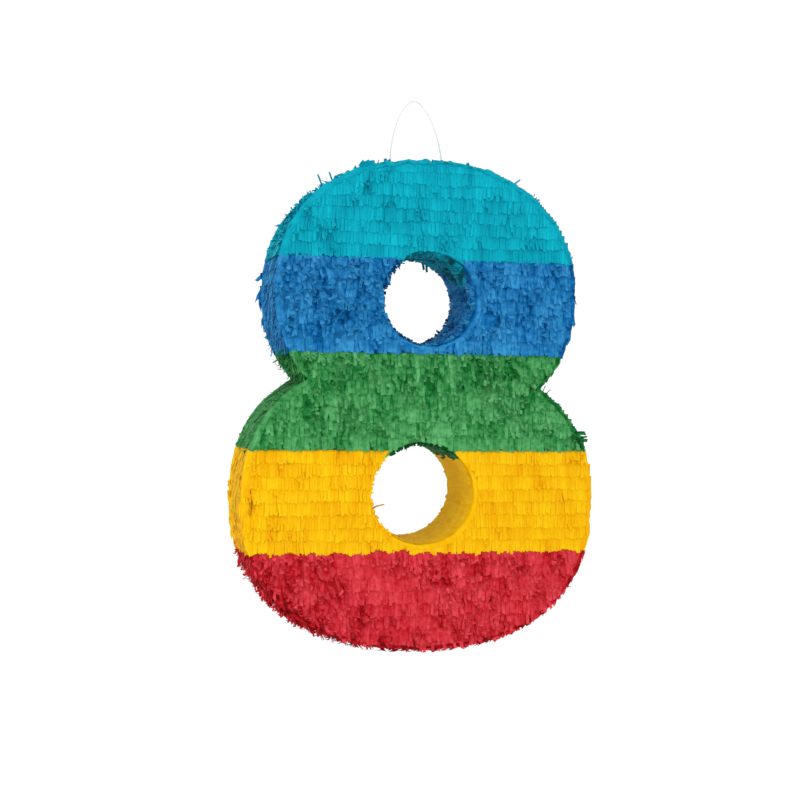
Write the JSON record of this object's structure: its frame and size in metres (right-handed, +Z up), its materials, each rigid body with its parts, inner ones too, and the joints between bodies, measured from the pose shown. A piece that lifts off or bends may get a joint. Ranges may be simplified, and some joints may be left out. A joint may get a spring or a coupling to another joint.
{
  "type": "number eight pinata",
  "caption": "Hollow cardboard figure eight wrapped in fringed tissue bands, with a cord loop on top to hang it and a flap at the back to fill it.",
  "frame": {"origin": "bottom centre of the bounding box, under the middle of the figure eight", "axes": "+Z up from the foot to the crown, -Y out of the front face, +X to the right seen from the front"},
  "size_m": [0.402, 0.112, 0.6226],
  "materials": {
    "tissue_turquoise": "matte crepe tissue, cut into fringe",
    "tissue_blue": "matte crepe tissue, cut into fringe",
    "tissue_green": "matte crepe tissue, cut into fringe",
    "tissue_yellow": "matte crepe tissue, cut into fringe",
    "tissue_red": "matte crepe tissue, cut into fringe",
    "board": "plain brown board, matte",
    "cord": "twisted white nylon cord, satin"
  },
  "bodies": {
    "pinata": {"front_panel": "board", "back_panel": "board", "side_wall_upper": "board", "side_wall_lower": "board", "upper_hole_wall": "board", "lower_hole_wall": "board", "hanger_card": "board", "front_fringe_red": "tissue_red", "front_fringe_yellow": "tissue_yellow", "front_fringe_green": "tissue_green", "front_fringe_blue": "tissue_blue", "front_fringe_turquoise": "tissue_turquoise", "back_fringe_red": "tissue_red", "back_fringe_yellow": "tissue_yellow", "back_fringe_green": "tissue_green", "back_fringe_blue": "tissue_blue", "back_fringe_turquoise": "tissue_turquoise", "side_fringe_red": "tissue_red", "side_fringe_turquoise": "tissue_turquoise", "side_fringe_yellow_left": "tissue_yellow", "side_fringe_yellow_right": "tissue_yellow", "side_fringe_green_left": "tissue_green", "side_fringe_green_right": "tissue_green", "side_fringe_blue_left": "tissue_blue", "side_fringe_blue_right": "tissue_blue", "upper_hole_lining_turquoise": "tissue_turquoise", "upper_hole_lining_blue": "tissue_blue", "lower_hole_lining_green": "tissue_green", "lower_hole_lining_yellow": "tissue_yellow", "loop_tie": "cord"},
    "flap": {"fill_flap": "board", "flap_fringe": "tissue_turquoise"},
    "loop": {"hanging_loop": "cord"}
  },
  "joints": [
    {"name": "loop_swing", "type": "hinge", "parent": "pinata", "child": "loop", "pos_m": [-0.00615, 0, 0.5475], "axis": [1, 0, 0], "range_deg": [-80, 80]},
    {"name": "fill_flap_hinge", "type": "hinge", "parent": "pinata", "child": "flap", "pos_m": [0, 0.051, 0.524], "axis": [1, 0, 0], "range_deg": [0, 110]}
  ]
}
